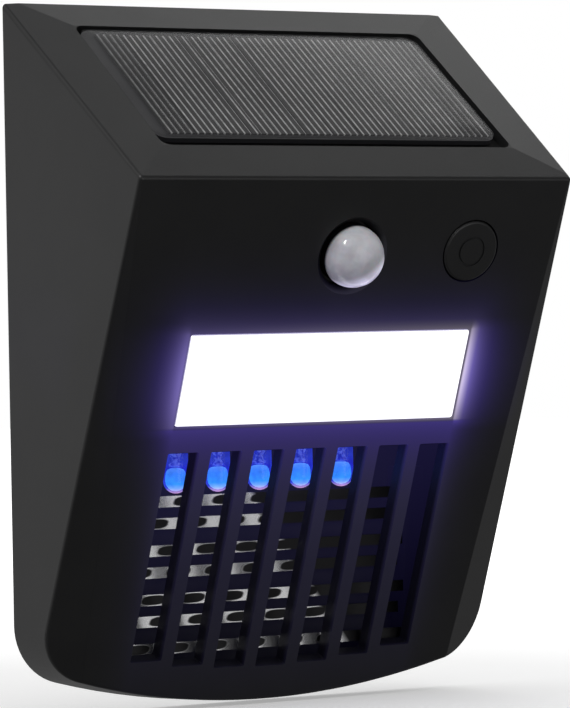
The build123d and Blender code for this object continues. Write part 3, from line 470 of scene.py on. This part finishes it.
def lens_milk():
    """Milky polythene, with the window's glow caught along its lower right side."""
    shade = Shade("lens_milk")
    place = shade.place()
    u, v, w = face_coordinates(shade)
    cloud = shade.noise(210.0, 3.0, 0.6, place)
    milk = shade.mix(shade.rise(cloud, 0.35, 0.65), rgb(0.54, 0.54, 0.60), rgb(0.72, 0.72, 0.77))
    # Below the face the lens is painted dark: painted shade in the hole round its barrel
    proud = shade.rise(w, -0.4 * MM, 0.3 * MM)
    shade.set(Base_Color=shade.mix(proud, BARREL_PAINTED_SHADE, milk))
    shade.set(Roughness=0.15, Subsurface_Weight=0.25, Subsurface_Scale=0.0015)
    shade.set(Normal=shade.bump(shade.noise(900.0), 0.006 * MM))
    down = shade.less(SENSOR_V, v)
    lower_right = shade.add(down, shade.times(shade.less(u, SENSOR_U), 0.75))
    glow = shade.remap(lower_right, 1.0 * MM, 3.8 * MM, 0.10, 0.55)
    patch = shade.remap(shade.noise(330.0, 1.0, 0.5, place), 0.38, 0.62, 0.75, 1.1)
    hue = shade.mix(
        shade.rise(down, -4.0 * MM, 3.0 * MM), rgb(0.96, 0.97, 1.0), rgb(0.74, 0.70, 1.0))
    return shade.set(Emission_Color=hue, Emission_Strength=shade.times(glow, patch, proud))


WINDOW_EDGE_LIGHT = 0.2     # the light at the window's rim against that in its middle


def lit_window():
    """The frosted window, lit from behind, dark violet where its skirt meets the housing."""
    shade = Shade("window_frost")
    place = shade.place()
    u, v = face_coordinates(shade)[:2]
    cloud = shade.noise(70.0, 2.0, 0.5, place)
    from_side = shade.less(WINDOW_HALF_WIDTH, shade.size(u))
    from_end = shade.less(WINDOW_HALF_HEIGHT, shade.size(shade.less(v, WINDOW_V)))
    edge = shade.math("MINIMUM", from_side, from_end)
    inside = shade.rise(edge, 0.12 * MM, 0.42 * MM)
    colour = shade.mix(shade.spread(cloud), rgb(0.98, 0.96, 1.0), grey(1.0))
    colour = shade.mix(inside, rgb(0.10, 0.06, 0.40), colour)
    strength = shade.times(
        shade.spread(cloud, 1.25, 1.4), shade.remap(inside, 0.0, 1.0, WINDOW_EDGE_LIGHT, 1.0))
    shade.set(Base_Color=rgb(0.9, 0.9, 0.93), Roughness=0.35)
    shade.set(Emission_Color=colour, Emission_Strength=strength)
    shade.set(Normal=shade.bump(shade.noise(3000.0), 0.01 * MM))
    return shade


# ---- The lamps
LAMP_COUNT = 5
LAMP_LENGTH = 9.2 * MM
EPOXY_STOPS = (             # from a lamp's tip, which points down, to its rim
    (0.0, rgb(0.95, 0.50, 0.95)),
    (0.05, rgb(0.55, 0.40, 1.0)),
    (0.12, rgb(0.05, 0.09, 0.95)),
    (0.50, rgb(0.02, 0.03, 0.80)),
    (0.70, rgb(0.03, 0.06, 0.72)),
    (1.0, rgb(0.02, 0.03, 0.50)),
)
LIGHT_STOPS = (
    (0.0, rgb(0.75, 0.60, 1.0)),
    (0.09, rgb(0.30, 0.62, 1.0)),
    (0.20, rgb(0.03, 0.42, 1.0)),
    (0.42, rgb(0.05, 0.33, 1.0)),
    (0.60, rgb(0.16, 0.42, 1.0)),
    (1.0, rgb(0.10, 0.12, 0.9)),
)


def lamp_ramp(shade, stops):
    """A colour that changes with height from the lamps' tips to their rims."""
    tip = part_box("uv_lamp_3")[0].z
    ramp = shade.node("ShaderNodeValToRGB", {
        "Fac": shade.rise(shade.along((0, 0, 1)), tip, tip + LAMP_LENGTH),
    })
    elements = ramp.color_ramp.elements
    elements[0].position, elements[0].color = stops[0]
    elements[1].position, elements[1].color = stops[-1]
    for position, colour in stops[1:-1]:
        elements.new(position).color = colour
    return ramp.outputs["Color"]


def uv_epoxy():
    """Clear blue epoxy round the lit middle, pinkish at its very tip."""
    shade = Shade("uv_epoxy")
    swirl = shade.noise(900.0, 2.0, 0.5)
    shade.set(Base_Color=rgb(0.02, 0.03, 0.35), Roughness=0.1, Alpha=0.42)
    shade.set(Emission_Color=lamp_ramp(shade, EPOXY_STOPS))
    return shade.set(Emission_Strength=shade.spread(swirl, 0.7, 1.05))


def uv_light():
    """The light in the middle of a lamp: cyan low down, blue higher up."""
    shade = Shade("uv_light")
    swirl = shade.noise(600.0, 3.0, 0.6)
    shade.set(Base_Color=rgb(0.02, 0.1, 0.4), Roughness=0.4)
    shade.set(Emission_Color=lamp_ramp(shade, LIGHT_STOPS))
    return shade.set(Emission_Strength=shade.spread(swirl, 0.8, 1.25))


def lead_frame_metal():
    """The lamp's stamped frame, tinted violet by the light."""
    shade = metal("lead_frame", rgb(0.25, 0.2, 0.5), 0.25)
    patch = shade.noise(1500.0, 2.0, 0.6)
    colour = shade.mix(shade.rise(patch, 0.4, 0.6), rgb(0.01, 0.01, 0.22), rgb(0.16, 0.24, 0.95))
    return shade.set(Emission_Color=colour, Emission_Strength=0.6)


# ---- The electric grid and the chamber round it
RUNG_PITCH = 9.6 * MM
FRONT_RUNG_Z = -29.0 * MM
BACK_RUNG_Z = -33.4 * MM
COMB_SPLIT_Y = -6.0 * MM    # between the front comb and the back one
# The painted dark reflection of the slots and bars in the middle of each rung
DARK_REFLECTION_PITCH = 9.0 * MM
DARK_REFLECTION_HALF_WIDTH = 2.9 * MM
DARK_REFLECTION_HALF_HEIGHT = 0.95 * MM
DARK_REFLECTION_DRIFT = 1.35         # how far the painted reflections move sideways from rung to rung
DARK_REFLECTION_LEAN = 0.3
PAINTED_SHADE_SLOPE = 1.4            # how steeply the edge of the painted shade at the upper right falls to the right
PAINTED_SHADE_START = -30.4 * MM
PAINTED_SHADE_END = -28.4 * MM


def grid_steel():
    """Stamped bright steel; painted dark reflections mid-rung, painted shade to the upper right."""
    shade = Shade("grid_steel")
    place = shade.place()
    x, y, z = (shade.along(axis, place) for axis in ((1, 0, 0), (0, 1, 0), (0, 0, 1)))
    fine = shade.noise(1400.0, 4.0, 0.6, place)
    # Painted dark reflection: a slanted patch in the middle of each rung
    split = (COMB_SPLIT_Y - 0.1 * MM, COMB_SPLIT_Y + 0.1 * MM)
    row_z = shade.remap(y, *split, FRONT_RUNG_Z, BACK_RUNG_Z)
    row = shade.math("FRACT", shade.add(shade.over(shade.less(z, row_z), RUNG_PITCH), 0.5))
    upward = shade.times(shade.less(row, 0.5), RUNG_PITCH / DARK_REFLECTION_HALF_HEIGHT)
    slanted = shade.less(x, shade.times(z, DARK_REFLECTION_DRIFT))
    column = shade.less(shade.math("FRACT", shade.over(slanted, DARK_REFLECTION_PITCH)), 0.5)
    sideways = shade.times(column, DARK_REFLECTION_PITCH / DARK_REFLECTION_HALF_WIDTH)
    sideways = shade.add(sideways, shade.times(upward, DARK_REFLECTION_LEAN))
    reach = shade.add(shade.power(shade.size(sideways), 2.4), shade.power(shade.size(upward), 3.0))
    # Painted shade: the rungs darken towards the upper right, where the chamber lies in shadow
    painted_shade = shade.rise(shade.add(z, shade.times(x, PAINTED_SHADE_SLOPE)), PAINTED_SHADE_START, PAINTED_SHADE_END)
    # The painted reflection and the painted shade darken the steel together
    reflection_and_shade = shade.math("MAXIMUM", shade.drop(reach, 0.75, 1.15), painted_shade)
    colour = shade.mix(
        shade.spread(fine, 0.0, 0.3), rgb(0.95, 0.95, 0.96), rgb(0.65, 0.65, 0.67))
    shade.set(Base_Color=shade.mix(reflection_and_shade, colour, rgb(0.016, 0.015, 0.017)))
    shade.set(Metallic=shade.remap(reflection_and_shade, 0.0, 1.0, 0.75, 0.3))
    shade.set(Roughness=shade.remap(reflection_and_shade, 0.0, 1.0, 0.24, 0.5))
    shade.set(Normal=shade.bump(fine, METAL_GRAIN_DEPTH))
    return shade


CHAMBER_TOP_Z = -20.0 * MM
CHAMBER_LOW_Z = -64.0 * MM
CHAMBER_BACK_Y = -2.3 * MM
CHAMBER_VIOLET = rgb(0.009, 0.0075, 0.034)
CHAMBER_BLACK = (rgb(0.012, 0.012, 0.013), rgb(0.018, 0.018, 0.019))


def chamber_plastic(name, rough, grain=0.012, specular=0.5):
    """Black plastic with a faint violet light on it where it faces the lit chamber."""
    shade = moulded_plastic(name, *CHAMBER_BLACK, rough, grain, specular)
    place = shade.place()
    y, z = (shade.along(axis, place) for axis in ((0, 1, 0), (0, 0, 1)))
    low = shade.remap(z, CHAMBER_LOW_Z, CHAMBER_TOP_Z, 0.12, 1.0)
    strength = shade.times(
        shade.power(low, 1.5),
        shade.drop(y, CHAMBER_BACK_Y, CHAMBER_BACK_Y + 0.2 * MM),
        shade.drop(z, CHAMBER_TOP_Z, CHAMBER_TOP_Z + MM),
    )
    return shade.set(Emission_Color=CHAMBER_VIOLET, Emission_Strength=strength)


# ---- Each material slot's finish
PLASTICS = {                # dark, light, roughness, and the grain's depth in mm where it is coarse
    "solar_board": (rgb(0.03, 0.03, 0.034), rgb(0.036, 0.036, 0.04), 0.35),
    "button_plastic": (rgb(0.017, 0.017, 0.018), rgb(0.021, 0.021, 0.022), 0.38),
    "switch_plastic": (grey(0.03), grey(0.04), 0.45),
    "reflector_white": (grey(0.80), grey(0.86), 0.4),
    "led_white": (rgb(0.85, 0.75, 0.35), rgb(0.95, 0.9, 0.6), 0.35),
    "holder_plastic": (rgb(0.012, 0.012, 0.013), rgb(0.016, 0.016, 0.017), 0.45),
    "cell_wrap": (rgb(0.03, 0.12, 0.33), rgb(0.04, 0.15, 0.38), 0.25),
    "ferrite": (grey(0.03), grey(0.05), 0.6, 0.03),
    "capacitor_resin": (rgb(0.25, 0.03, 0.02), rgb(0.33, 0.045, 0.03), 0.25),
    "diode_body": (grey(0.015), grey(0.02), 0.3),
    "chip_body": (grey(0.02), grey(0.03), 0.5),
    "socket_white": (rgb(0.72, 0.7, 0.62), rgb(0.8, 0.78, 0.7), 0.4),
}
CHAMBER_PLASTICS = {        # roughness, and the grain and gloss of the cover's duller inside
    "cover_plastic": (0.6, 0.02, 0.25),
    "post_plastic": (0.5,),
}
METALS = {                  # colour, roughness
    "screw_steel": (rgb(0.45, 0.45, 0.46), 0.3),
    "sensor_metal": (rgb(0.6, 0.6, 0.58), 0.25),
    "contact_nickel": (rgb(0.7, 0.68, 0.62), 0.2),
}
RUBBERS = {                 # colour
    "seal_rubber": (grey(0.02),),
    "foam_tape": (grey(0.03),),
    "wire_red": (rgb(0.42, 0.02, 0.02),),
    "wire_black": (grey(0.02),),
    "wire_white": (rgb(0.6, 0.6, 0.57),),
}
OWN_FINISHES = {
    "housing_plastic": housing_plastic,
    "solar_silicon": solar_silicon,
    "solar_clear": clear_cover,
    "lens_milk": lens_milk,
    "window_frost": lit_window,
    "circuit_board": circuit_board,
    "uv_epoxy": uv_epoxy,
    "grid_steel": grid_steel,
}


def make_finish(slot):
    """A new material for a slot."""
    for values, make in (
        (PLASTICS, moulded_plastic), (CHAMBER_PLASTICS, chamber_plastic),
        (METALS, metal), (RUBBERS, rubber),
    ):
        if slot in values:
            return make(slot, *values[slot]).material
    return OWN_FINISHES[slot]().material


def dress_nodes():
    """Give every CAD node the finish of its slot, and return the slots' materials."""
    made = {}
    for part in frame["record"]["subparts"]:
        slot = part["material_slot"]
        if slot not in made:
            made[slot] = make_finish(slot)
        node = NODES[part["node"]]
        node.data.materials.clear()
        node.data.materials.append(made[slot])
    return made


# ---- Pieces with a finer shape than their CAD solids
SHARP_ANGLE = math.radians(35)


def circle(count, radius):
    """The x and y of points round a circle."""
    for step in range(count):
        angle = 2 * math.pi * step / count
        yield radius * math.cos(angle), radius * math.sin(angle)


def solid_from(mesh, name):
    """A smooth object made of a bmesh, which is used up."""
    bmesh.ops.recalc_face_normals(mesh, faces=mesh.faces)
    data = bpy.data.meshes.new(name)
    mesh.to_mesh(data)
    mesh.free()
    for face in data.polygons:
        face.use_smooth = True
    piece = bpy.data.objects.new(name, data)
    bpy.context.scene.collection.objects.link(piece)
    return piece


def turned(name, profile, segments, moved=None):
    """A closed solid turned about the z axis from (radius, height) points, the ends on the axis."""
    mesh = bmesh.new()
    rings = []
    for index, (radius, height) in enumerate(profile):
        if radius == 0.0:
            rings.append([mesh.verts.new((0, 0, height))])
            continue
        points = [Vector((x, y, height)) for x, y in circle(segments, radius)]
        rings.append([mesh.verts.new(moved(index, point) if moved else point) for point in points])
    for upper, lower in zip(rings, rings[1:]):
        for step in range(segments):
            after = (step + 1) % segments
            if len(upper) == 1:
                mesh.faces.new((upper[0], lower[step], lower[after]))
            elif len(lower) == 1:
                mesh.faces.new((upper[step], lower[0], upper[after]))
            else:
                mesh.faces.new((upper[step], lower[step], lower[after], upper[after]))
    return solid_from(mesh, name)


LENS_RADIUS = 6.1 * MM
LENS_CENTRE = 0.1 * MM      # the dome's centre, out from the face
LENS_SHELL = 0.7 * MM
LENS_HOLLOW_RADIUS = LENS_RADIUS - LENS_SHELL
LENS_FLANGE_RADIUS = 8.6 * MM
LENS_FLANGE_TOP = -2.8 * MM
LENS_FLANGE_LOW = -3.8 * MM
LENS_CELL_RINGS = ((0, 1), (31, 6), (60, 12), (86, 16))     # degrees from the middle, and cells
LENS_CELL_CUT = 0.991       # how near the flat cells come to the dome's centre, in radii
LENS_STEPS = 40
LENS_HOLLOW_SKIP = 4        # the hollow's steps are this many times as long
LENS_SEGMENTS = 144


def lens_cells():
    """The directions that the lens's flat cells face."""
    cells = []
    for tilt, count in LENS_CELL_RINGS:
        tip = math.radians(tilt)
        for index in range(count):
            around = 2 * math.pi * (index + 0.5) / count
            sideways = Vector((math.cos(around), math.sin(around), 0)) * math.sin(tip)
            cells.append(sideways + Vector((0, 0, math.cos(tip))))
    return cells


def dome_point(radius, angle):
    """A point of a dome's outline, at an angle from its middle."""
    return radius * math.sin(angle), LENS_CENTRE + radius * math.cos(angle)


def make_lens():
    """The sensor's dome, its outside divided into flat cells like the real lens."""
    cells = lens_cells()
    centre = Vector((0, 0, LENS_CENTRE))
    quarter = math.pi / 2
    outer = [dome_point(LENS_RADIUS, quarter * step / LENS_STEPS) for step in range(LENS_STEPS + 1)]
    inner = [
        dome_point(LENS_HOLLOW_RADIUS, quarter * (1 - step / LENS_STEPS))
        for step in range(0, LENS_STEPS + 1, LENS_HOLLOW_SKIP)
    ]
    outer[0] = (0.0, LENS_CENTRE + LENS_RADIUS * LENS_CELL_CUT)
    inner[-1] = (0.0, LENS_CENTRE + LENS_HOLLOW_RADIUS)
    skirt = [
        (LENS_RADIUS, LENS_FLANGE_TOP), (LENS_FLANGE_RADIUS, LENS_FLANGE_TOP),
        (LENS_FLANGE_RADIUS, LENS_FLANGE_LOW), (LENS_HOLLOW_RADIUS, LENS_FLANGE_LOW),
    ]

    def flattened(index, point):
        """A point of the outside, moved in to the nearest flat cell."""
        if index >= LENS_STEPS:
            return point
        way = (point - centre).normalized()
        facing = max(way.dot(cell) for cell in cells)
        return centre + way * min(LENS_RADIUS, LENS_RADIUS * LENS_CELL_CUT / facing)

    dome = turned("sensor_dome", outer + skirt + inner, LENS_SEGMENTS, flattened)
    dome.data.transform(face_place(FRONT_AXES, SENSOR_U, SENSOR_V))
    dome.data.materials.append(SLOTS["lens_milk"])
    dome.data.set_sharp_from_angle(angle=SHARP_ANGLE)
    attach(dome, "housing")
    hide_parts("sensor_lens")


PANEL_CENTRE = (0.05 * MM, 31.5 * MM)       # across the sloping top and up it
PANEL_SIZE = (79.7 * MM, 36.6 * MM)
PANEL_CORNER = 3.0 * MM
PANEL_LEAST_CORNER = 0.4 * MM
PANEL_CORNER_STEPS = 8
COVER_LOW = -0.5 * MM
COVER_EDGE = -0.28 * MM
COVER_TOP = 0.1 * MM
COVER_ROLL = 5.0 * MM       # how far in from its edge the cover starts to fall
COVER_STEPS = 12


def rounded_outline(width, height, corner, out):
    """The points of a rectangle with round corners, at a height out of its plane."""
    points = []
    for quarter, (sx, sy) in enumerate(((1, 1), (-1, 1), (-1, -1), (1, -1))):
        for step in range(PANEL_CORNER_STEPS + 1):
            angle = math.pi / 2 * (quarter + step / PANEL_CORNER_STEPS)
            points.append(Vector((
                sx * (width / 2 - corner) + corner * math.cos(angle),
                sy * (height / 2 - corner) + corner * math.sin(angle),
                out,
            )))
    return points


def make_solar_cover():
    """The clear resin slab over the cells, its top rolling down towards every edge."""
    width, height = PANEL_SIZE
    rings = [rounded_outline(width, height, PANEL_CORNER, COVER_LOW)]
    for step in range(COVER_STEPS + 1):
        inset = COVER_ROLL * step / COVER_STEPS
        top = COVER_TOP - (COVER_TOP - COVER_EDGE) * (1 - inset / COVER_ROLL) ** 2
        corner = max(PANEL_CORNER - inset * 0.5, PANEL_LEAST_CORNER)
        rings.append(rounded_outline(width - 2 * inset, height - 2 * inset, corner, top))
    mesh = bmesh.new()
    made = [[mesh.verts.new(point) for point in ring] for ring in rings]
    for low, high in zip(made, made[1:]):
        for index in range(len(low)):
            after = (index + 1) % len(low)
            mesh.faces.new((low[index], low[after], high[after], high[index]))
    mesh.faces.new(made[-1])
    mesh.faces.new(list(reversed(made[0])))
    cover = solid_from(mesh, "solar_cover")
    cover.data.set_sharp_from_angle(angle=SHARP_ANGLE)
    cover.data.transform(face_place(TOP_AXES, *PANEL_CENTRE))
    cover.data.materials.append(SLOTS["solar_clear"])
    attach(cover, "housing")
    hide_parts("solar_glass")


# The outlines of what is inside a lamp: radius and height above its tip, in millimetres
LAMP_CORE = (
    (0.0, 0.45), (0.8, 0.6), (1.45, 1.0), (1.9, 1.7), (2.08, 2.5),
    (2.05, 3.4), (1.9, 4.2), (1.6, 4.7), (1.0, 4.95), (0.0, 5.0),
)
LAMP_FRAME = (
    (0.0, 5.1), (0.5, 5.15), (1.25, 5.3), (1.35, 5.7), (0.9, 6.1),
    (0.65, 6.8), (1.15, 7.5), (1.2, 8.3), (0.0, 8.4),
)
LAMP_SEGMENTS = 32


def make_lamp_insides():
    """What shows inside each lamp: the lit middle, and the frame that holds the chip above it."""
    light = uv_light().material
    frame_metal = lead_frame_metal().material
    for index in range(1, LAMP_COUNT + 1):
        low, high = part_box("uv_lamp_%d" % index)
        middle = (low + high) / 2
        place = Matrix.Translation((middle.x, middle.y, low.z))
        for name, profile, material, slot in (
            ("uv_lamp_light_%d", LAMP_CORE, light, "uv_epoxy"),
            ("uv_lamp_frame_%d", LAMP_FRAME, frame_metal, "contact_nickel"),
        ):
            points = [(radius * MM, height * MM) for radius, height in profile]
            piece = turned(name % index, points, LAMP_SEGMENTS)
            piece.data.transform(place)
            piece.data.materials.append(material)
            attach(piece, "housing")


# ---- Stage
FLOOR_RADIUS = 2.2
FLOOR_POINTS = 96
FLOOR_GAP = 0.6 * MM
FLOOR_GLOW_NEAR = 0.36      # the paper's own light near the object, where shadows show, and far off
FLOOR_GLOW_FAR = 1.0
FLOOR_GLOW_START = 0.12
FLOOR_GLOW_END = 0.45


def make_floor():
    """A plain white round floor just below the object, which doesn't colour the object itself."""
    rim = [(x, y, BOTTOM_Z - FLOOR_GAP) for x, y in circle(FLOOR_POINTS, FLOOR_RADIUS)]
    mesh = bpy.data.meshes.new("floor")
    mesh.from_pydata(rim, [], [tuple(range(FLOOR_POINTS))])
    floor = bpy.data.objects.new("floor", mesh)
    bpy.context.scene.collection.objects.link(floor)
    shade = Shade("floor_paper")
    tone = shade.noise(3.0, 2.0, 0.5)
    shade.set(Base_Color=shade.mix(tone, grey(0.83), grey(0.85)), Roughness=0.9)
    far = shade.node("ShaderNodeVectorMath", {0: shade.place()}, operation="LENGTH")
    glow = shade.remap(
        far.outputs["Value"], FLOOR_GLOW_START, FLOOR_GLOW_END, FLOOR_GLOW_NEAR, FLOOR_GLOW_FAR)
    shade.set(Emission_Color=grey(1.0), Emission_Strength=glow)
    mesh.materials.append(shade.material)
    floor.visible_diffuse = False
    floor.visible_glossy = False
    return floor


# Directions of the studio's bright sides: behind to the left, and low at the right
GLOW_FROM = Vector((-0.54, 0.84, 0.10)).normalized()
EDGE_FROM = Vector((0.91, -0.075, -0.41)).normalized()
# For each direction, the nearness to it at which its light starts and ends, and the light there
STUDIO = (
    (GLOW_FROM, (-0.2, 1.0), (0.085, 0.56)),
    (EDGE_FROM, (0.87, 1.0), (0.0, 0.29)),
    (Vector((0, 0, 1)), (0.1, 0.9), (0.0, 0.14)),
)


def make_world():
    """A white studio for the camera, which lights the object mostly from behind and the left."""
    world = bpy.data.worlds.new("studio")
    world.use_nodes = True
    bpy.context.scene.world = world
    tree = world.node_tree
    link = tree.links.new
    back = tree.nodes["Background"]
    coordinates = tree.nodes.new("ShaderNodeTexCoord")

    def side_light(direction, nearness, strength):
        """The light that comes from round a direction."""
        product = tree.nodes.new("ShaderNodeVectorMath")
        product.operation = "DOT_PRODUCT"
        link(coordinates.outputs["Generated"], product.inputs[0])
        product.inputs[1].default_value = direction
        ramp = tree.nodes.new("ShaderNodeMapRange")
        ramp.interpolation_type = "SMOOTHSTEP"
        ramp.inputs["From Min"].default_value, ramp.inputs["From Max"].default_value = nearness
        ramp.inputs["To Min"].default_value, ramp.inputs["To Max"].default_value = strength
        link(product.outputs["Value"], ramp.inputs["Value"])
        return ramp.outputs["Result"]

    light, *others = [side_light(*side) for side in STUDIO]
    for other in others:
        added = tree.nodes.new("ShaderNodeMath")
        link(light, added.inputs[0])
        link(other, added.inputs[1])
        light = added.outputs[0]
    seen = tree.nodes.new("ShaderNodeLightPath")
    mix = tree.nodes.new("ShaderNodeMix")
    link(seen.outputs["Is Camera Ray"], mix.inputs["Factor"])
    link(light, mix.inputs["A"])
    mix.inputs["B"].default_value = 1.0
    link(mix.outputs["Result"], back.inputs["Strength"])
    back.inputs["Color"].default_value = grey(1.0)


LIGHTS_AIM = Vector((0, -0.02, 0))
OBJECT_LIGHTS = (           # name, place, width and height, watts
    ("light_key", (1.15, 0.95, 1.05), 0.7, 3.0),
    ("light_spark", (-0.70, -0.34, 0.90), 0.19, 4.0),
    ("light_front", (0.05, -1.30, 0.05), 1.0, 3.5),
    ("light_side", (0.75, -1.05, 0.05), 0.50, 0.60),
)
FLOOR_LIGHT = ("light_floor", (0.15, -0.22, 1.0), 2.0, 10.0)


def softbox(name, place, size, power):
    """A square soft light that faces the object."""
    data = bpy.data.lights.new(name, "AREA")
    data.shape = "RECTANGLE"
    data.size = data.size_y = size
    data.energy = power
    light = bpy.data.objects.new(name, data)
    bpy.context.scene.collection.objects.link(light)
    turn = (LIGHTS_AIM - Vector(place)).to_track_quat("-Z", "Y").to_matrix().to_4x4()
    light.matrix_world = Matrix.Translation(Vector(place)) @ turn
    return light


def light_only(lights, floor, state):
    """Make lights shine on the floor alone, or on everything but the floor."""
    receivers = bpy.data.collections.new("floor_" + state.lower())
    receivers.objects.link(floor)
    receivers.collection_objects[0].light_linking.link_state = state
    for light in lights:
        light.light_linking.receiver_collection = receivers


def make_lights(floor):
    """Soft lights behind, high at the left and in front, and one for the floor alone."""
    on_object = [softbox(*light) for light in OBJECT_LIGHTS]
    on_floor = softbox(*FLOOR_LIGHT)
    light_only(on_object, floor, "EXCLUDE")
    light_only([on_floor], floor, "INCLUDE")


make_camera()
make_world()
make_lights(make_floor())
SLOTS = dress_nodes()
make_lens()
make_solar_cover()
make_lamp_insides()

bpy.context.scene.view_settings.view_transform = "Standard"
bpy.context.scene.view_settings.look = "None"
